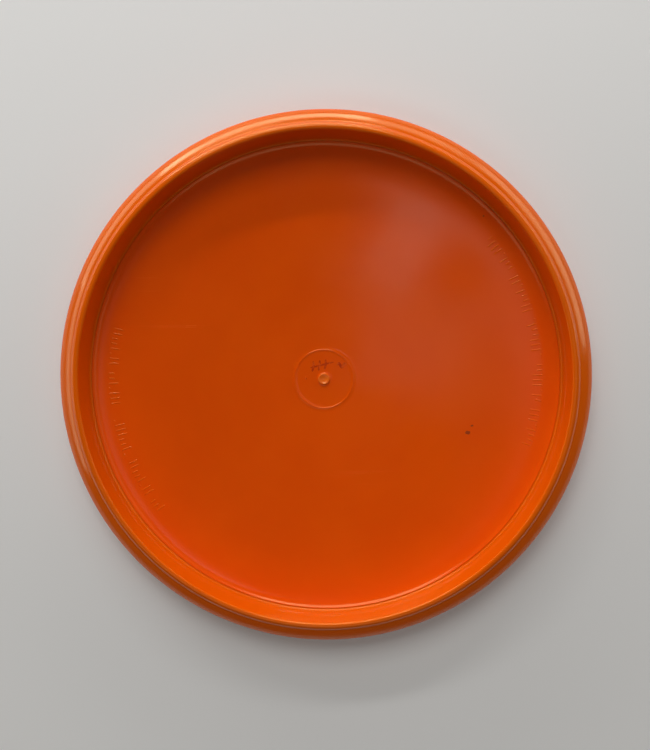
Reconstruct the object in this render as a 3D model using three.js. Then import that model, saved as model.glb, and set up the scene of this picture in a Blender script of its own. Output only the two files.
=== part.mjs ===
// A golf disc for putting and approach shots, lying with its hollow underside up.
// Millimetres, +Z up. The origin is the middle of the flat land on the outer face, which the disc lies on.
// A thin domed flight plate carries a tongue all round its edge, and the heavy rim is moulded over it,
// so the rim's groove is the tongue's shape and a clearance.
import * as THREE from 'three';

// Driving dimensions of the rim
const discDiameter = 212; // across the nose, which is the widest circle
const rimWidth = 9.5; // from the nose in to the mouth of the inner wall
const wallDepth = 13; // from the lip to the foot of the inner wall
const wallDraft = 0.1; // how far the inner wall leans in between its mouth and its foot fillet
const footFillet = 0.8; // radius between the inner wall and the seam
const noseDepth = 6.5; // from the lip to the nose
const noseEase = 5.5; // length over which the nose runs out towards the outer face
const noseHold = 0.35; // share of the rise from the nose to the crease over which the wall starts upright
const shoulderEase = 5; // length over which the outer face runs on beyond the seam
const wallPitch = 22; // degrees that the outer wall falls away at the crease
const wallLead = 2; // length over which the outer wall keeps near that pitch
const beadWidth = 3.4; // of the rounded bead that forms the lip, from the mouth to the crease
const beadHeight = 1.6; // from the lip to the crease outside the bead
const beadPitch = 60; // degrees that the bead falls away at the crease
const beadEase = 0.88; // length over which the bead turns, at the crease and at the flat land
const mouthRounding = 0.9; // between the inner wall and the lip's flat land
const lipLandWidth = 0.3; // flat ring on top of the bead

// Driving dimensions of the flight plate
const plateThickness = 2.2; // at the centre
const edgeThickness = 3.1; // at the seam with the rim
const restLandRadius = 20; // flat middle of the outer face
const outerDome = 1.5; // rise of the outer face's broad dome from the land to the seam
const outerShoulder = 1.9; // further rise near the seam, where the shoulder begins
const outerShoulderPower = 8; // how closely that further rise keeps to the seam
const innerDome = 2; // rise of the underside's broad dome from the centre to the seam
const innerShoulderPower = 12; // how closely the underside's last rise keeps to the seam
const edgeRise = 0.45; // small upturn of the underside at its very edge
const edgeRisePower = 100; // how closely that upturn keeps to the edge
const ringRadius = 12.15; // middle of the thin raised ring around the centre
const ringWidth = 0.7;
const ringHeight = 0.12;
const gateRadius = 2.45; // nub left at the centre by the moulding gate
const gateHeight = 0.8;
const gateBevel = 0.35;

// The joint between the two pieces
const seamGap = 0.3; // clearance between plate and rim, everywhere
const tongueLength = 3;
const tongueThickness = 1;
const tongueSlope = 0.5; // the tongue climbs with the shoulder

// Fineness of the facets
const turnSteps = 80;
const curveSteps = 7;
const arcSteps = 4;
const faceSteps = 9;

// Radii and heights that follow from these
const noseRadius = discDiameter / 2;
const mouthRadius = noseRadius - rimWidth;
const wallFootRadius = mouthRadius - wallDraft;
const rimEdgeRadius = wallFootRadius - footFillet;
const seamRadius = rimEdgeRadius - seamGap / 2;
const plateEdgeRadius = rimEdgeRadius - seamGap;
const tongueTipRadius = plateEdgeRadius + tongueLength;
const grooveEndRadius = tongueTipRadius + seamGap;
const footZ = outerDome + outerShoulder + edgeThickness;
const seamZ = footZ + edgeRise;
const lipZ = footZ + wallDepth;
const noseZ = lipZ - noseDepth;
const creaseRadius = mouthRadius + beadWidth;
const creaseZ = lipZ - beadHeight;
const landOutside = mouthRadius + mouthRounding + lipLandWidth;

const point = (radius, z) => new THREE.Vector2(radius, z);
const slopeOf = (pitch) => Math.tan(THREE.MathUtils.degToRad(pitch));

// Height of the outer face at a radius up to the seam
function outerFace(radius) {
  const share = Math.max(0, (radius - restLandRadius) / (seamRadius - restLandRadius));
  return outerDome * share ** 2 + outerShoulder * share ** outerShoulderPower;
}

// Slope of the outer face where it reaches the seam
function outerSlopeAtSeam() {
  return (2 * outerDome + outerShoulderPower * outerShoulder) / (seamRadius - restLandRadius);
}

// Height of the underside at a radius up to the seam
function underside(radius) {
  const share = radius / plateEdgeRadius;
  const innerShoulder = footZ - plateThickness - innerDome;
  const rise = innerDome * share ** 2 + innerShoulder * share ** innerShoulderPower;
  return plateThickness + rise + edgeRise * share ** edgeRisePower;
}

// Middle of the tongue's thickness at a radius
function tongueMiddle(radius) {
  return footZ - edgeThickness / 2 + tongueSlope * (radius - seamRadius);
}

// Points on a face of the plate between two radii, closer together towards the outside, where it bends
function facePoints(height, fromRadius, toRadius) {
  const points = [];
  for (let step = 0; step <= faceSteps; step += 1) {
    const share = Math.sin((step / faceSteps) * (Math.PI / 2));
    const radius = fromRadius + (toRadius - fromRadius) * share;
    points.push(point(radius, height(radius)));
  }
  return points;
}

// Points on an arc about a centre, both ends included, angles in degrees from +R towards +Z
function arcPoints(centreRadius, centreZ, radius, fromAngle, toAngle) {
  const points = [];
  for (let step = 0; step <= arcSteps; step += 1) {
    const angle = THREE.MathUtils.degToRad(fromAngle + ((toAngle - fromAngle) * step) / arcSteps);
    points.push(point(centreRadius + radius * Math.cos(angle), centreZ + radius * Math.sin(angle)));
  }
  return points;
}

// Turns a profile into a solid of revolution about Z
function turned(name, profile, material) {
  const geometry = new THREE.LatheGeometry(profile, turnSteps);
  geometry.rotateX(Math.PI / 2);
  const mesh = new THREE.Mesh(geometry, material);
  mesh.name = name;
  return mesh;
}

function makeFlightPlate() {
  const gateTop = plateThickness + gateHeight;
  const ringInside = ringRadius - ringWidth / 2;
  const ringOutside = ringRadius + ringWidth / 2;
  const ringTop = underside(ringRadius) + ringHeight;
  const halfTongue = tongueThickness / 2;
  const profile = [
    point(0, 0),
    ...facePoints(outerFace, restLandRadius, plateEdgeRadius),
    point(plateEdgeRadius, tongueMiddle(plateEdgeRadius) - halfTongue),
    point(tongueTipRadius, tongueMiddle(tongueTipRadius) - halfTongue),
    point(tongueTipRadius, tongueMiddle(tongueTipRadius) + halfTongue),
    point(plateEdgeRadius, tongueMiddle(plateEdgeRadius) + halfTongue),
    ...facePoints(underside, ringOutside, plateEdgeRadius).reverse(),
    point(ringRadius + ringWidth / 4, ringTop),
    point(ringRadius - ringWidth / 4, ringTop),
    point(ringInside, underside(ringInside)),
    point(gateRadius, underside(gateRadius)),
    point(gateRadius, gateTop - gateBevel),
    point(gateRadius - gateBevel, gateTop),
    point(0, gateTop),
  ];
  const material = new THREE.MeshStandardMaterial({ color: 0xb84607, roughness: 0.45, metalness: 0 });
  return turned('flight_plate', profile, material);
}

function makeRim() {
  const halfGroove = tongueThickness / 2 + seamGap;
  const shoulderZ = outerFace(rimEdgeRadius);
  const shoulder = new THREE.CubicBezierCurve(
    point(rimEdgeRadius, shoulderZ),
    point(rimEdgeRadius + shoulderEase, shoulderZ + shoulderEase * outerSlopeAtSeam()),
    point(noseRadius, noseZ - noseEase),
    point(noseRadius, noseZ),
  );
  const outerWall = new THREE.CubicBezierCurve(
    point(noseRadius, noseZ),
    point(noseRadius, noseZ + noseHold * (creaseZ - noseZ)),
    point(creaseRadius + wallLead, creaseZ - wallLead * slopeOf(wallPitch)),
    point(creaseRadius, creaseZ),
  );
  const bead = new THREE.CubicBezierCurve(
    point(creaseRadius, creaseZ),
    point(creaseRadius - beadEase / slopeOf(beadPitch), creaseZ + beadEase),
    point(landOutside + beadEase, lipZ),
    point(landOutside, lipZ),
  );
  const profile = [
    ...shoulder.getPoints(curveSteps),
    ...outerWall.getPoints(curveSteps).slice(1),
    ...bead.getPoints(curveSteps).slice(1),
    ...arcPoints(mouthRadius + mouthRounding, lipZ - mouthRounding, mouthRounding, 90, 180),
    ...arcPoints(rimEdgeRadius, seamZ + footFillet, footFillet, 0, -90),
    point(rimEdgeRadius, tongueMiddle(rimEdgeRadius) + halfGroove),
    point(grooveEndRadius, tongueMiddle(grooveEndRadius) + halfGroove),
    point(grooveEndRadius, tongueMiddle(grooveEndRadius) - halfGroove),
    point(rimEdgeRadius, tongueMiddle(rimEdgeRadius) - halfGroove),
    point(rimEdgeRadius, shoulderZ),
  ];
  const material = new THREE.MeshStandardMaterial({ color: 0xd9560c, roughness: 0.3, metalness: 0 });
  return turned('rim', profile, material);
}

const disc = new THREE.Group();
disc.add(makeFlightPlate());
disc.add(makeRim());

export default disc;
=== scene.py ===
"""The looks of a golf disc that lies on its flight plate with its hollow underside up."""

import math
import random

import bpy
from mathutils import Matrix, Vector


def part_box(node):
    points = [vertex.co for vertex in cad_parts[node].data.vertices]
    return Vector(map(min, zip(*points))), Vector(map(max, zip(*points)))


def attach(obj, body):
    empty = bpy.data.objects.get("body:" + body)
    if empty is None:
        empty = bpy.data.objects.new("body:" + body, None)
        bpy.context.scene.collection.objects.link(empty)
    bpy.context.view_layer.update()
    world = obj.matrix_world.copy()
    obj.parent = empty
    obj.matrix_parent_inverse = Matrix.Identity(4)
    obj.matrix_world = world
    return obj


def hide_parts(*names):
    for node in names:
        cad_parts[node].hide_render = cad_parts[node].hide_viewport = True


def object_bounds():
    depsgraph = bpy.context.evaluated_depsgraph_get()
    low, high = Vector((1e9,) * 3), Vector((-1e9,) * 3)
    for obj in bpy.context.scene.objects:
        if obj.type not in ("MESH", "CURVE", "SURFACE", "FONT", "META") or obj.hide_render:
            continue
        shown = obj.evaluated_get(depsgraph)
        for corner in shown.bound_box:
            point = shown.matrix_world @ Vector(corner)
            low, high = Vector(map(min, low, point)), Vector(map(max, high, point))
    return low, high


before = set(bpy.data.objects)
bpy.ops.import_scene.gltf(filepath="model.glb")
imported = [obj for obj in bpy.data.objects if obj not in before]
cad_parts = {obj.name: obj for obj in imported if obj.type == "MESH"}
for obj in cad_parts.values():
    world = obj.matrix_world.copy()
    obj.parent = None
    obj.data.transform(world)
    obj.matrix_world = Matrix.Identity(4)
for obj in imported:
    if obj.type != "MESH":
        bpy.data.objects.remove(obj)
CAD_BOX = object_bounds()

MM = 0.001

# ---------------------------------------------------------------- sizes, from the frame
NOSE_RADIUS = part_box("rim")[1].x
LIP_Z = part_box("rim")[1].z
FLOOR_Z = CAD_BOX[0].z

# ---------------------------------------------------------------- sizes, as in the part's source
RIM_WIDTH = 9.5 * MM
WALL_DEPTH = 13 * MM
WALL_DRAFT = 0.1 * MM
FOOT_FILLET = 0.8 * MM
NOSE_DEPTH = 6.5 * MM
NOSE_EASE = 5.5 * MM
NOSE_HOLD = 0.35
SHOULDER_EASE = 5 * MM
WALL_SLOPE = math.tan(math.radians(22))
WALL_LEAD = 2 * MM
BEAD_WIDTH = 3.4 * MM
BEAD_HEIGHT = 1.6 * MM
BEAD_SLOPE = math.tan(math.radians(60))
BEAD_EASE = 0.88 * MM
MOUTH_ROUNDING = 0.9 * MM
LIP_LAND_WIDTH = 0.3 * MM
PLATE_THICKNESS = 2.2 * MM
REST_LAND_RADIUS = 20 * MM
OUTER_DOME = 1.5 * MM
OUTER_SHOULDER = 1.9 * MM
OUTER_SHOULDER_POWER = 8
INNER_DOME = 2 * MM
INNER_SHOULDER_POWER = 12
EDGE_RISE = 0.45 * MM
EDGE_RISE_POWER = 100
RING_RADIUS = 12.15 * MM
RING_WIDTH = 0.7 * MM
RING_HEIGHT = 0.12 * MM
GATE_RADIUS = 2.45 * MM
GATE_HEIGHT = 0.8 * MM
SEAM_GAP = 0.3 * MM
TONGUE_LENGTH = 3 * MM
TONGUE_THICKNESS = 1 * MM
TONGUE_SLOPE = 0.5

# ---------------------------------------------------------------- sizes of the finer surface
SEAM_LINE = 0.02 * MM  # visible width of the seam, narrower than the clearance in the CAD model
EDGE_ROUND = 0.12 * MM  # on the plate's own edge, at the seam
CREASE_ROUND = 0.06 * MM  # how far the rounding in the crease reaches along both sides
PARTING_HEIGHT = 0.06 * MM  # witness line of the mould round the nose
PARTING_WIDTH = 0.5 * MM
LIP_ROUND = 0.45 * MM  # on the edge of the gate nub
DISH_DEPTH = 0.4 * MM  # hollow in the nub's top
GATE_FOOT_FLARE = 0.2 * MM  # how far the nub's foot spreads onto the plate
GATE_CUT_DROP = 0.16 * MM  # how much lower the nub's top is on the side that was cut deeper
GATE_CUT_SIDE = math.radians(38)  # direction of that side, from +X to +Y
MARK_HEIGHT = 0.11 * MM  # of the raised marks near the plate's edge
MARK_STROKE = 0.6 * MM
MARK_BEVEL = 0.2 * MM
MARK_PITCH = math.radians(1.35)
INK_WIDTH = 0.95 * MM
INK_HEIGHT = 0.015 * MM
SUNK = 0.04 * MM  # how deep a raised detail is set into the plate

MOUTH_RADIUS = NOSE_RADIUS - RIM_WIDTH
WALL_FOOT_RADIUS = MOUTH_RADIUS - WALL_DRAFT
RIM_EDGE = WALL_FOOT_RADIUS - FOOT_FILLET
SEAM_RADIUS = RIM_EDGE - SEAM_GAP / 2
CAD_PLATE_EDGE = RIM_EDGE - SEAM_GAP
PLATE_EDGE = RIM_EDGE - SEAM_LINE
TONGUE_TIP = CAD_PLATE_EDGE + TONGUE_LENGTH
GROOVE_END = TONGUE_TIP + SEAM_GAP
FOOT_Z = LIP_Z - WALL_DEPTH
SEAM_Z = FOOT_Z + EDGE_RISE
NOSE_Z = LIP_Z - NOSE_DEPTH
CREASE_RADIUS = MOUTH_RADIUS + BEAD_WIDTH
CREASE_Z = LIP_Z - BEAD_HEIGHT
LAND_OUTSIDE = MOUTH_RADIUS + MOUTH_ROUNDING + LIP_LAND_WIDTH
EDGE_THICKNESS = FOOT_Z - OUTER_DOME - OUTER_SHOULDER
GATE_TOP = PLATE_THICKNESS + GATE_HEIGHT


def outer_face(radius):
    """Height of the outer face at a radius up to the seam."""
    share = max(0.0, (radius - REST_LAND_RADIUS) / (SEAM_RADIUS - REST_LAND_RADIUS))
    return OUTER_DOME * share**2 + OUTER_SHOULDER * share**OUTER_SHOULDER_POWER


def underside(radius):
    """Height of the plate's underside at a radius up to the seam."""
    share = min(1.0, radius / CAD_PLATE_EDGE)
    shoulder = FOOT_Z - PLATE_THICKNESS - INNER_DOME
    rise = INNER_DOME * share**2 + shoulder * share**INNER_SHOULDER_POWER
    return PLATE_THICKNESS + rise + EDGE_RISE * share**EDGE_RISE_POWER


def tongue_middle(radius):
    return FOOT_Z - EDGE_THICKNESS / 2 + TONGUE_SLOPE * (radius - SEAM_RADIUS)


# ---------------------------------------------------------------- profile and mesh helpers
def arc(centre_r, centre_z, radius, from_deg, to_deg, steps):
    """Points on an arc, both ends included, angles from +R towards +Z."""
    out = []
    for step in range(steps + 1):
        a = math.radians(from_deg + (to_deg - from_deg) * step / steps)
        out.append((centre_r + radius * math.cos(a), centre_z + radius * math.sin(a)))
    return out


def bezier(p0, p1, p2, p3, steps):
    out = []
    for step in range(steps + 1):
        t = step / steps
        u = 1 - t
        weights = (u**3, 3 * u * u * t, 3 * u * t * t, t**3)
        out.append(tuple(sum(w * p[k] for w, p in zip(weights, (p0, p1, p2, p3))) for k in (0, 1)))
    return out


def straight(p0, p1, steps):
    """Points between two ends, neither end included."""
    return [tuple(a + (b - a) * s / steps for a, b in zip(p0, p1)) for s in range(1, steps)]


def rounded_join(first, second, reach, steps=8):
    """Two runs of points that share a corner, with the corner rounded off within a reach of it."""
    corner = first[-1]
    before = [p for p in first if math.dist(p, corner) > reach]
    after = [p for p in second if math.dist(p, corner) > reach]
    a, b = before[-1], after[0]
    bend = bezier(a, corner, corner, b, steps)
    return before + bend[1:-1] + after


def smoothstep(low, high, value):
    t = min(1.0, max(0.0, (value - low) / (high - low)))
    return t * t * (3 - 2 * t)


def add_piece(name, verts, faces, material, sharp_deg=35):
    """A mesh piece on the root body."""
    mesh = bpy.data.meshes.new(name)
    mesh.from_pydata(verts, [], faces)
    mesh.validate()
    mesh.update()
    mesh.shade_smooth()
    mesh.set_sharp_from_angle(angle=math.radians(sharp_deg))
    piece = bpy.data.objects.new(name, mesh)
    bpy.context.scene.collection.objects.link(piece)
    mesh.materials.append(material)
    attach(piece, "root")
    return piece


def turned(name, profile, steps, material, shift=None):
    """Turns a profile into a closed solid about Z. Ends on the axis become single points.

    shift(angle, radius, z) gives how far a vertex moves in height."""
    on_axis = [p[0] < 1e-9 for p in profile]
    verts = []
    rows = []
    for (radius, z), single in zip(profile, on_axis):
        if single:
            rows.append([len(verts)] * steps)
            verts.append((0.0, 0.0, z))
            continue
        rows.append(list(range(len(verts), len(verts) + steps)))
        for k in range(steps):
            a = 2 * math.pi * k / steps
            lift = shift(a, radius, z) if shift else 0.0
            verts.append((radius * math.cos(a), radius * math.sin(a), z + lift))
    faces = []
    closed = not (on_axis[0] and on_axis[-1])
    for i in range(len(rows) if closed else len(rows) - 1):
        a, b = rows[i], rows[(i + 1) % len(rows)]
        for k in range(steps):
            n = (k + 1) % steps
            face = []
            for v in (a[k], a[n], b[n], b[k]):
                if v not in face:
                    face.append(v)
            if len(face) > 2:
                faces.append(face)
    return add_piece(name, verts, faces, material)


RIM_TURN_STEPS = 480
PLATE_TURN_STEPS = 384
DISH_STEPS = 9
RELIEF_STEPS = 8  # across the parting line and the ring
PAD_STEPS = 20  # points round the outline of a pad
PAD_TOP_SHARE = 0.1  # least share of a pad's size that its top keeps
# Each layer of a pad: how far it is drawn in, in bevels, and its share of the height (negative: its depth)
PAD_LAYERS = ((0.0, -SUNK), (0.0, 0.0), (0.35, 0.65), (0.75, 0.93), (1.4, 1.0))


class Relief:
    """Collects low closed shapes that stand on the plate's underside, for one piece."""

    def __init__(self):
        self.verts = []
        self.faces = []

    def stack(self, layers):
        """A closed body from outlines of equal length, each with its height above the underside."""
        start = len(self.verts)
        count = len(layers[0][0])
        for outline, height in layers:
            for x, y in outline:
                self.verts.append((x, y, underside(math.hypot(x, y)) + height))
        for level in range(len(layers) - 1):
            low = start + level * count
            for k in range(count):
                n = (k + 1) % count
                self.faces.append((low + k, low + n, low + count + n, low + count + k))
        self.faces.append(tuple(range(start + count - 1, start - 1, -1)))
        top = start + (len(layers) - 1) * count
        self.faces.append(tuple(range(top, top + count)))

    def pad(self, x, y, turn, half_length, half_width, height, bevel, squareness=5.0, ragged=None):
        """A rounded pad: its outline is a superellipse and its edge is bevelled."""
        layers = []
        for inset, level in PAD_LAYERS:
            outline = []
            for k in range(PAD_STEPS):
                a = 2 * math.pi * k / PAD_STEPS
                powers = abs(math.cos(a)) ** squareness + abs(math.sin(a)) ** squareness
                shape = powers ** (-1 / squareness)
                rough = ragged[k % len(ragged)] if ragged else 1.0
                reach_u = max(half_length - inset * bevel, PAD_TOP_SHARE * half_length)
                reach_v = max(half_width - inset * bevel, PAD_TOP_SHARE * half_width)
                u = reach_u * shape * math.cos(a) * rough
                v = reach_v * shape * math.sin(a) * rough
                outline.append((x + u * math.cos(turn) - v * math.sin(turn),
                                y + u * math.sin(turn) + v * math.cos(turn)))
            layers.append((outline, level if level < 0 else level * height))
        self.stack(layers)

    def finish(self, name, material, sharp_deg=60):
        return add_piece(name, self.verts, self.faces, material, sharp_deg)


# ---------------------------------------------------------------- colours
# ORANGE and DEEP_ORANGE on the plate are redder than RIM_ORANGE and DEEP_RIM_ORANGE on the rim, though both
# are one plastic: painted shade, the redder tone standing for the plate's deeper shade in the hollow.
ORANGE = (0.88, 0.094, 0.0003)
DEEP_ORANGE = (0.84, 0.084, 0.0003)
RIM_ORANGE = (0.78, 0.114, 0.0003)
DEEP_RIM_ORANGE = (0.74, 0.104, 0.0003)
# PALE_ORANGE makes the raised marks and the nib lighter than the plate they are moulded with: painted light
# on their raised tops.
PALE_ORANGE = (0.92, 0.125, 0.002)
TORN_ORANGE = (0.92, 0.19, 0.012)
SATIN_TINT = (1.0, 0.92, 0.45)
GLOSS_TINT = (1.0, 0.86, 0.32)
INK_DARK, INK_THIN = (0.54, 0.034, 0.0003), (0.76, 0.070, 0.0003)
FLECK_DARK, FLECK_PALE = (0.24, 0.020, 0.001), (0.44, 0.040, 0.001)
FLOOR_GREY, FLOOR_PALE = (0.83, 0.825, 0.81), (0.86, 0.855, 0.84)
WHITE = (1.0, 1.0, 1.0)
COOL = (0.45, 0.55, 1.0)
WARM_AIR = (1.0, 0.9, 0.7)
AIR_STRENGTH = 0.08
PLASTIC_IOR = 1.49
SUBSURFACE_RADIUS = (1.0, 0.25, 0.06)  # red light goes furthest into the plastic
SUBSURFACE_DEPTH = 1.6 * MM


# ---------------------------------------------------------------- material helpers
class Nodes:
    """Short names for building a node tree."""

    def __init__(self, name):
        self.material = bpy.data.materials.new(name)
        self.material.use_nodes = True
        self.tree = self.material.node_tree
        self.tree.nodes.clear()
        self.shader = self.add("ShaderNodeBsdfPrincipled")
        out = self.add("ShaderNodeOutputMaterial")
        self.link(self.shader.outputs[0], out.inputs["Surface"])
        self.coords = self.add("ShaderNodeTexCoord").outputs["Object"]

    def add(self, kind, **values):
        node = self.tree.nodes.new(kind)
        for key, value in values.items():
            setattr(node, key, value)
        return node

    def link(self, output, socket):
        self.tree.links.new(output, socket)

    def math(self, operation, a, b=None):
        node = self.add("ShaderNodeMath", operation=operation)
        for socket, value in zip(node.inputs, (a, b)):
            if value is None:
                continue
            if isinstance(value, (int, float)):
                socket.default_value = value
            else:
                self.link(value, socket)
        return node.outputs[0]

    def noise(self, scale, detail=3.0, roughness=0.5, vector=None, distortion=0.0):
        node = self.add("ShaderNodeTexNoise")
        node.inputs["Scale"].default_value = scale
        node.inputs["Detail"].default_value = detail
        node.inputs["Roughness"].default_value = roughness
        node.inputs["Distortion"].default_value = distortion
        self.link(vector or self.coords, node.inputs["Vector"])
        return node.outputs["Fac"]

    def ramp(self, value, low, high, to_low=0.0, to_high=1.0):
        node = self.add("ShaderNodeMapRange", interpolation_type="SMOOTHSTEP")
        for name, number in zip(("From Min", "From Max", "To Min", "To Max"), (low, high, to_low, to_high)):
            node.inputs[name].default_value = number
        self.link(value, node.inputs["Value"])
        return node.outputs["Result"]

    def mix(self, factor, a, b):
        node = self.add("ShaderNodeMix", data_type="RGBA")
        for socket, value in ((node.inputs[0], factor), (node.inputs[6], a), (node.inputs[7], b)):
            if isinstance(value, tuple):
                socket.default_value = (*value, 1.0)
            elif isinstance(value, (int, float)):
                socket.default_value = value
            else:
                self.link(value, socket)
        return node.outputs[2]

    def radius(self):
        """Distance from the disc's axis."""
        flat = self.add("ShaderNodeVectorMath", operation="MULTIPLY")
        flat.inputs[1].default_value = (1.0, 1.0, 0.0)
        self.link(self.coords, flat.inputs[0])
        length = self.add("ShaderNodeVectorMath", operation="LENGTH")
        self.link(flat.outputs["Vector"], length.inputs[0])
        return length.outputs["Value"]

    def facing_up(self):
        """1 where the surface faces up, close to level, and 0 on walls and undersides."""
        parts = self.add("ShaderNodeSeparateXYZ")
        self.link(self.add("ShaderNodeTexCoord").outputs["Normal"], parts.inputs["Vector"])
        return self.ramp(parts.outputs["Z"], 0.9, 0.98)

    def turned_coords(self, turn_deg, stretch):
        """Object coordinates turned about Z and stretched, for scratches."""
        node = self.add("ShaderNodeMapping")
        node.inputs["Rotation"].default_value = (0.0, 0.0, math.radians(turn_deg))
        node.inputs["Scale"].default_value = stretch
        self.link(self.coords, node.inputs["Vector"])
        return node.outputs["Vector"]

    def bump(self, height, distance, strength, under=None):
        node = self.add("ShaderNodeBump")
        node.inputs["Strength"].default_value = strength
        node.inputs["Distance"].default_value = distance
        self.link(height, node.inputs["Height"])
        if under is not None:
            self.link(under, node.inputs["Normal"])
        return node.outputs["Normal"]


def scratches(n, turn_deg, along, across, threshold):
    """Fine straight hairlines in one direction: 1 on a line and 0 elsewhere."""
    lines = n.noise(1.0, 1.0, 0.4, n.turned_coords(turn_deg, (along, across, along)))
    return n.ramp(lines, threshold, threshold + 0.03)


def moulded_plastic(name, colour, deep_colour, tint, roughness, grain, scratch_depth, torn_middle=False):
    """Orange moulded plastic: cloudy pigment, faint flow rings, fine grain and hairline scratches.

    torn_middle puts the gate's torn plastic at the centre, on the outer face too, as it goes by radius."""
    n = Nodes(name)
    clouds = n.ramp(n.noise(28.0, 3.0, 0.55), 0.32, 0.68)
    rings = n.add("ShaderNodeCombineXYZ")
    n.link(n.math("MULTIPLY", n.radius(), 70.0), rings.inputs["X"])
    flow = n.ramp(n.noise(1.0, 2.0, 0.5, rings.outputs["Vector"]), 0.3, 0.7)
    shade = n.math("ADD", n.math("MULTIPLY", clouds, 0.75), n.math("MULTIPLY", flow, 0.25))
    base = n.mix(shade, deep_colour, colour)
    hairlines = n.math(
        "MAXIMUM",
        scratches(n, 24, 14.0, 900.0, 0.71),
        n.math("MAXIMUM", scratches(n, -51, 11.0, 700.0, 0.73), scratches(n, 71, 18.0, 1100.0, 0.73)),
    )
    patches = n.ramp(n.noise(14.0, 2.0, 0.5), 0.48, 0.64)
    hairlines = n.math("MULTIPLY", hairlines, n.math("MULTIPLY", patches, n.facing_up()))
    pale = tuple(min(1.0, c * 1.1 + 0.01) for c in colour)
    base = n.mix(n.math("MULTIPLY", hairlines, 0.15), base, pale)
    smudges = n.ramp(n.noise(26.0, 4.0, 0.6, distortion=0.6), 0.3, 0.75, -0.04, 0.05)
    rough = n.math("ADD", n.math("ADD", smudges, roughness), n.math("MULTIPLY", hairlines, 0.1))
    fine = n.bump(n.noise(2600.0, 2.0, 0.5), 0.003 * MM, grain)
    surface = n.bump(n.noise(60.0, 2.0, 0.4), 0.05 * MM, 0.2, fine)
    surface = n.bump(hairlines, -0.02 * MM, scratch_depth, surface)
    if torn_middle:
        torn = n.ramp(n.radius(), GATE_RADIUS - 0.1 * MM, GATE_RADIUS + 0.15 * MM, 1.0, 0.0)
        fibres = n.noise(900.0, 3.0, 0.6)
        base = n.mix(n.math("MULTIPLY", torn, n.ramp(fibres, 0.3, 0.7, 0.35, 0.75)), base, TORN_ORANGE)
        surface = n.bump(n.math("MULTIPLY", torn, fibres), 0.06 * MM, 0.6, surface)
    n.link(base, n.shader.inputs["Base Color"])
    n.link(rough, n.shader.inputs["Roughness"])
    n.link(surface, n.shader.inputs["Normal"])
    n.shader.inputs["IOR"].default_value = PLASTIC_IOR
    n.shader.inputs["Specular Tint"].default_value = (*tint, 1.0)
    n.shader.inputs["Subsurface Weight"].default_value = 0.12
    n.shader.inputs["Subsurface Radius"].default_value = SUBSURFACE_RADIUS
    n.shader.inputs["Subsurface Scale"].default_value = SUBSURFACE_DEPTH
    return n.material


def pen_ink():
    """Marker ink that has gone thin in places."""
    n = Nodes("pen_ink")
    worn = n.ramp(n.noise(420.0, 3.0, 0.6), 0.38, 0.66)
    n.link(n.mix(worn, INK_DARK, INK_THIN), n.shader.inputs["Base Color"])
    n.link(n.ramp(worn, 0.0, 1.0, 0.2, 0.3), n.shader.inputs["Roughness"])
    n.link(n.bump(worn, 0.01 * MM, 0.4), n.shader.inputs["Normal"])
    n.shader.inputs["Specular Tint"].default_value = (*SATIN_TINT, 1.0)
    return n.material


def dark_fleck():
    """Burnt specks and grime, of uneven darkness."""
    n = Nodes("dark_fleck")
    mottle = n.noise(1500.0, 2.0, 0.5)
    n.link(n.mix(mottle, FLECK_DARK, FLECK_PALE), n.shader.inputs["Base Color"])
    n.link(n.ramp(mottle, 0.3, 0.7, 0.5, 0.65), n.shader.inputs["Roughness"])
    n.link(n.bump(mottle, 0.01 * MM, 0.4), n.shader.inputs["Normal"])
    n.shader.inputs["Specular Tint"].default_value = (*SATIN_TINT, 1.0)
    return n.material


def pale_floor():
    n = Nodes("pale_floor")
    soft = n.noise(3.0, 2.0, 0.5)
    n.link(n.mix(soft, FLOOR_GREY, FLOOR_PALE), n.shader.inputs["Base Color"])
    n.shader.inputs["Roughness"].default_value = 0.85
    n.shader.inputs["Specular IOR Level"].default_value = 0.2
    return n.material


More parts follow.
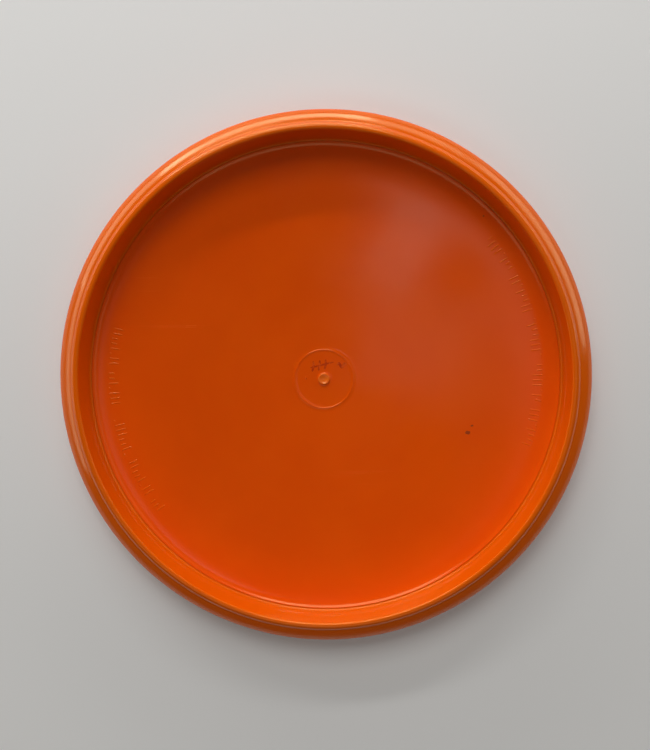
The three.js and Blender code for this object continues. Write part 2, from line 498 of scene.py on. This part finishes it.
# ---------------------------------------------------------------- the rim
def make_rim(material):
    half_groove = TONGUE_THICKNESS / 2 + SEAM_GAP
    slope = (2 * OUTER_DOME + OUTER_SHOULDER_POWER * OUTER_SHOULDER) / (SEAM_RADIUS - REST_LAND_RADIUS)
    start_z = outer_face(RIM_EDGE)
    nose = NOSE_RADIUS - PARTING_HEIGHT
    half_line = PARTING_WIDTH / 2
    shoulder = bezier(
        (RIM_EDGE, start_z),
        (RIM_EDGE + SHOULDER_EASE, start_z + SHOULDER_EASE * slope),
        (nose, NOSE_Z - NOSE_EASE),
        (nose, NOSE_Z - half_line),
        26,
    )
    parting = []
    for step in range(1, RELIEF_STEPS):
        share = step / RELIEF_STEPS
        parting.append((nose + PARTING_HEIGHT * math.sin(math.pi * share) ** 2,
                        NOSE_Z - half_line + PARTING_WIDTH * share))
    wall = bezier(
        (nose, NOSE_Z + half_line),
        (nose, NOSE_Z + NOSE_HOLD * (CREASE_Z - NOSE_Z)),
        (CREASE_RADIUS + WALL_LEAD, CREASE_Z - WALL_LEAD * WALL_SLOPE),
        (CREASE_RADIUS, CREASE_Z),
        40,
    )
    bead = bezier(
        (CREASE_RADIUS, CREASE_Z),
        (CREASE_RADIUS - BEAD_EASE / BEAD_SLOPE, CREASE_Z + BEAD_EASE),
        (LAND_OUTSIDE + BEAD_EASE, LIP_Z),
        (LAND_OUTSIDE, LIP_Z),
        24,
    )
    mouth = arc(MOUTH_RADIUS + MOUTH_ROUNDING, LIP_Z - MOUTH_ROUNDING, MOUTH_ROUNDING, 90, 180, 12)
    foot = arc(RIM_EDGE, SEAM_Z + FOOT_FILLET, FOOT_FILLET, 0, -90, 12)
    profile = [
        *shoulder,
        *parting,
        *rounded_join(wall, bead, CREASE_ROUND),
        *straight(bead[-1], mouth[0], 2),
        *mouth,
        *straight(mouth[-1], foot[0], 14),
        *foot,
        (RIM_EDGE, tongue_middle(RIM_EDGE) + half_groove),
        (GROOVE_END, tongue_middle(GROOVE_END) + half_groove),
        (GROOVE_END, tongue_middle(GROOVE_END) - half_groove),
        (RIM_EDGE, tongue_middle(RIM_EDGE) - half_groove),
    ]
    piece = turned("rim_shell", profile, RIM_TURN_STEPS, material)
    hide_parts("rim")


# ---------------------------------------------------------------- the flight plate
def gate_profile():
    """The nub at the centre: a flared foot, an upright side, a rounded lip and a dished top."""
    side = [
        (GATE_RADIUS + GATE_FOOT_FLARE, underside(GATE_RADIUS)),
        (GATE_RADIUS + GATE_FOOT_FLARE / 5, PLATE_THICKNESS + 0.1 * MM),
        (GATE_RADIUS, PLATE_THICKNESS + 0.3 * MM),
        *arc(GATE_RADIUS - LIP_ROUND, GATE_TOP - LIP_ROUND, LIP_ROUND, 0, 110, 8),
    ]
    dish_radius, dish_z = side[-1]
    dish = []
    for step in range(1, DISH_STEPS + 1):
        share = 1 - step / DISH_STEPS
        dish.append((dish_radius * share, dish_z - DISH_DEPTH * (1 - share**2)))
    return side + dish


def torn_gate(angle, radius, z):
    """The gate was cut a little aslant, which leaves one side of its top lower."""
    if radius > GATE_RADIUS or z < GATE_TOP - DISH_DEPTH - 0.1 * MM:
        return 0.0
    across = radius * math.cos(angle - GATE_CUT_SIDE)
    return -GATE_CUT_DROP * smoothstep(-0.4 * MM, 1.9 * MM, across)


def make_plate(material):
    half = TONGUE_THICKNESS / 2
    outer_radii = [REST_LAND_RADIUS * k / 6 for k in range(1, 7)]
    span = PLATE_EDGE - REST_LAND_RADIUS
    outer_radii += [REST_LAND_RADIUS + span * math.sin(math.pi / 2 * k / 40) for k in range(1, 41)]
    ring_out = RING_RADIUS + RING_WIDTH / 2
    ring_in = RING_RADIUS - RING_WIDTH / 2
    last = PLATE_EDGE - EDGE_ROUND
    under = [ring_out + (last - ring_out) * math.sin(math.pi / 2 * k / 90) for k in range(91)]
    ring = []
    for step in range(1, RELIEF_STEPS):
        share = step / RELIEF_STEPS
        radius = ring_out + (ring_in - ring_out) * share
        ring.append((radius, underside(radius) + RING_HEIGHT * math.sin(math.pi * share) ** 1.2))
    gate = gate_profile()
    between = straight((ring_in, underside(ring_in)), gate[0], 10)
    profile = [
        (0.0, 0.0),
        *[(r, outer_face(r)) for r in outer_radii],
        (PLATE_EDGE, tongue_middle(PLATE_EDGE) - half),
        (TONGUE_TIP, tongue_middle(TONGUE_TIP) - half),
        (TONGUE_TIP, tongue_middle(TONGUE_TIP) + half),
        (PLATE_EDGE, tongue_middle(PLATE_EDGE) + half),
        *arc(last, underside(last) - EDGE_ROUND, EDGE_ROUND, 0, 90, 7),
        *[(r, underside(r)) for r in reversed(under[:-1])],
        *ring,
        (ring_in, underside(ring_in)),
        *[(r, underside(r)) for r, _ in between],
        *gate,
    ]
    piece = turned("plate_body", profile, PLATE_TURN_STEPS, material, torn_gate)
    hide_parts("flight_plate")


# ---------------------------------------------------------------- details on the underside
MARK_BAND = 87.3 * MM  # middle radius of the band of raised marks
MARK_ARCS = ((-19, 40), (165, 186), (190, 217))  # degrees from +X towards +Y
MARK_LENGTHS = (4.0 * MM, 2.4 * MM, 0.7 * MM)
MARK_GROUP = 9  # marks in a group, and the last place of each group stays empty
FLECKS = ((61.2, -19.2, 0.7, 0.4), (59.5, -22.1, 1.1, 0.75), (64.2, 65.9, 0.35, 0.3))
TALLY = (-4.9, -2.3, 0.2)


def make_marks(material):
    """Groups of raised strokes and dots in a band near the edge, of no meaning."""
    relief = Relief()
    for start, end in MARK_ARCS:
        angle = math.radians(start)
        count = 0
        while angle < math.radians(end):
            count += 1
            angle += MARK_PITCH
            if count % MARK_GROUP == 0:
                continue
            length = MARK_LENGTHS[(0, 0, 0, 1, 0, 1, 2)[(count * 5 + start) % 7]]
            radius = MARK_BAND + (MARK_LENGTHS[0] - length) / 2
            x, y = radius * math.cos(angle), radius * math.sin(angle)
            relief.pad(x, y, angle, length / 2, MARK_STROKE / 2, MARK_HEIGHT, MARK_BEVEL)
    relief.finish("raised_marks", material)


def stroke(relief, points, width):
    """A flat ribbon of ink along a run of points, narrower at both ends."""
    left, right = [], []
    for k, (x, y) in enumerate(points):
        x0, y0 = points[max(0, k - 1)]
        x1, y1 = points[min(len(points) - 1, k + 1)]
        length = math.hypot(x1 - x0, y1 - y0)
        share = k / (len(points) - 1)
        half = width / 2 * (0.45 + 0.55 * math.sin(math.pi * share) ** 0.5)
        nx, ny = -(y1 - y0) / length * half, (x1 - x0) / length * half
        left.append((x + nx, y + ny))
        right.append((x - nx, y - ny))
    outline = right + left[::-1]
    relief.stack([(outline, -SUNK), (outline, INK_HEIGHT)])


def make_ink(material):
    """Three upright strokes of a pen, one across them and a small wave beside them, inside the ring."""
    relief = Relief()
    for k, x in enumerate(TALLY):
        points = []
        for step in range(15):
            share = step / 14
            bow = 0.25 * math.sin(math.pi * share)
            points.append(((x + 0.5 * share + bow) * MM, (3.1 + 0.4 * k + 4.2 * share) * MM))
        stroke(relief, points, INK_WIDTH)
    across = [((-5.6 + 9.6 * k / 20) * MM, (4.6 + 2.4 * k / 20) * MM) for k in range(21)]
    stroke(relief, across, 0.8 * INK_WIDTH)
    wave = []
    for step in range(41):
        share = step / 40
        wave.append(((5.5 + 3.9 * share) * MM, (5.7 + 0.8 * math.sin(2 * math.pi * 1.5 * share)) * MM))
    stroke(relief, wave, 1.2 * INK_WIDTH)
    relief.finish("pen_strokes", material, 80)


def make_flecks(material):
    """Dark specks in the plastic, of uneven outline."""
    relief = Relief()
    dice = random.Random(7)
    for x, y, half_length, half_width in FLECKS:
        ragged = [dice.uniform(0.7, 1.15) for _ in range(10)]
        relief.pad(x * MM, y * MM, dice.uniform(0, math.pi), half_length * MM, half_width * MM,
                   INK_HEIGHT, 0.1 * MM, 2.2, ragged)
    relief.finish("flecks", material, 80)


def make_nib(material):
    """A tiny drip of plastic beside the gate."""
    relief = Relief()
    relief.pad(-7.45 * MM, 0.57 * MM, math.radians(86), 0.6 * MM, 0.3 * MM, 0.3 * MM, 0.2 * MM, 2.4)
    relief.finish("nib", material, 80)


# ---------------------------------------------------------------- camera, lights and floor
IMAGE_LONG_SIDE = 750  # of the 650 x 750 picture
FOCAL_PIXELS = 656.5
SENSOR_WIDTH = 36.0
CAMERA_DISTANCE = 255.5 * MM  # from the middle of the lip, along the view
TILT_X = math.radians(-3.45)
TILT_Y = math.radians(-1.64)
CAMERA_RIGHT = 0.93 * MM
CAMERA_UP = 2.66 * MM
LIGHT_DISTANCE = 1.2
FLOOR_HALF = 2.0


def make_camera():
    """Looks down into the underside, nearly along the disc's axis."""
    cos_x, sin_x = math.cos(TILT_X), math.sin(TILT_X)
    cos_y, sin_y = math.cos(TILT_Y), math.sin(TILT_Y)
    tip_x = Matrix(((1, 0, 0), (0, cos_x, -sin_x), (0, sin_x, cos_x)))
    tip_y = Matrix(((cos_y, 0, sin_y), (0, 1, 0), (-sin_y, 0, cos_y)))
    turn = tip_x @ tip_y
    right = Vector((turn[0][0], -turn[0][1], turn[0][2]))
    up = Vector((-turn[1][0], turn[1][1], -turn[1][2]))
    back = Vector((turn[2][0], -turn[2][1], turn[2][2]))
    data = bpy.data.cameras.new("camera")
    data.sensor_width = SENSOR_WIDTH
    data.lens = FOCAL_PIXELS * data.sensor_width / IMAGE_LONG_SIDE
    data.clip_start = 0.01
    data.dof.use_dof = False
    camera = bpy.data.objects.new("camera", data)
    bpy.context.scene.collection.objects.link(camera)
    place = Vector((0, 0, LIP_Z)) + back * CAMERA_DISTANCE + right * CAMERA_RIGHT + up * CAMERA_UP
    pose = Matrix((right, up, back)).transposed().to_4x4()
    pose.translation = place
    camera.matrix_world = pose
    bpy.context.scene.camera = camera


def soft_box(name, azimuth, elevation, wide_deg, high_deg, radiance, colour=WHITE):
    """A soft box that faces the disc. Its place and size are angles as seen from the disc.

    Azimuth is from +X to +Y."""
    data = bpy.data.lights.new(name, "AREA")
    data.shape = "RECTANGLE"
    data.size = 2 * LIGHT_DISTANCE * math.tan(math.radians(wide_deg / 2))
    data.size_y = 2 * LIGHT_DISTANCE * math.tan(math.radians(high_deg / 2))
    data.energy = radiance * math.pi * data.size * data.size_y
    data.color = colour
    light = bpy.data.objects.new(name, data)
    bpy.context.scene.collection.objects.link(light)
    light.visible_camera = False
    a, e = math.radians(azimuth), math.radians(elevation)
    away = Vector((math.cos(a) * math.cos(e), math.sin(a) * math.cos(e), math.sin(e)))
    light.location = away * LIGHT_DISTANCE
    light.rotation_mode = "QUATERNION"
    light.rotation_quaternion = away.to_track_quat("Z", "Y")


def make_lights():
    soft_box("key_strip", 101, 27, 42, 3, 19.0)
    soft_box("key_window", 106, 10, 50, 9.5, 6.8)
    soft_box("key_upper", 100, 50, 34, 24, 4.1)
    soft_box("top_left_low", 142, 9.5, 40, 10, 2.8)
    soft_box("left_low", 182, 13, 42, 9, 2.3)
    soft_box("top_right_low", 72, 12, 30, 10, 2.8)
    soft_box("right_low", 30, 11, 50, 12, 2.8)
    soft_box("over_right", 10, 62, 40, 16, 0.45)
    soft_box("over_bottom", 255, 55, 60, 16, 0.8)
    soft_box("haze_main", 56, 81.5, 4.5, 7, 2.1, COOL)
    soft_box("haze_side", 352, 83.3, 8, 10.5, 0.75, COOL)
    world = bpy.data.worlds.new("studio")
    world.use_nodes = True
    background = world.node_tree.nodes["Background"]
    background.inputs["Color"].default_value = (*WARM_AIR, 1.0)
    background.inputs["Strength"].default_value = AIR_STRENGTH
    bpy.context.scene.world = world
    bpy.context.scene.view_settings.view_transform = "Standard"


def make_floor():
    corners = [(x * FLOOR_HALF, y * FLOOR_HALF, 0) for x, y in ((-1, -1), (1, -1), (1, 1), (-1, 1))]
    mesh = bpy.data.meshes.new("floor")
    mesh.from_pydata(corners, [], [(0, 1, 2, 3)])
    floor = bpy.data.objects.new("floor", mesh)
    floor.location.z = FLOOR_Z
    bpy.context.scene.collection.objects.link(floor)
    mesh.materials.append(pale_floor())


# ---------------------------------------------------------------- all of it
make_camera()
make_lights()
make_floor()
# The plate takes the redder orange: painted shade on the plate, beside the rim's yellower orange.
plate_plastic = moulded_plastic("plate_plastic", ORANGE, DEEP_ORANGE, SATIN_TINT,
                                roughness=0.15, grain=0.5, scratch_depth=0.35, torn_middle=True)
# The raised marks and the nib are the plate's plastic in a paler orange: painted light.
raised_plastic = moulded_plastic("raised_plastic", PALE_ORANGE, ORANGE, SATIN_TINT,
                                 roughness=0.2, grain=0.5, scratch_depth=0.2)
rim_plastic = moulded_plastic("rim_plastic", RIM_ORANGE, DEEP_RIM_ORANGE, GLOSS_TINT,
                              roughness=0.15, grain=0.3, scratch_depth=0.2)
make_rim(rim_plastic)
make_plate(plate_plastic)
make_marks(raised_plastic)
make_ink(pen_ink())
make_flecks(dark_fleck())
make_nib(raised_plastic)
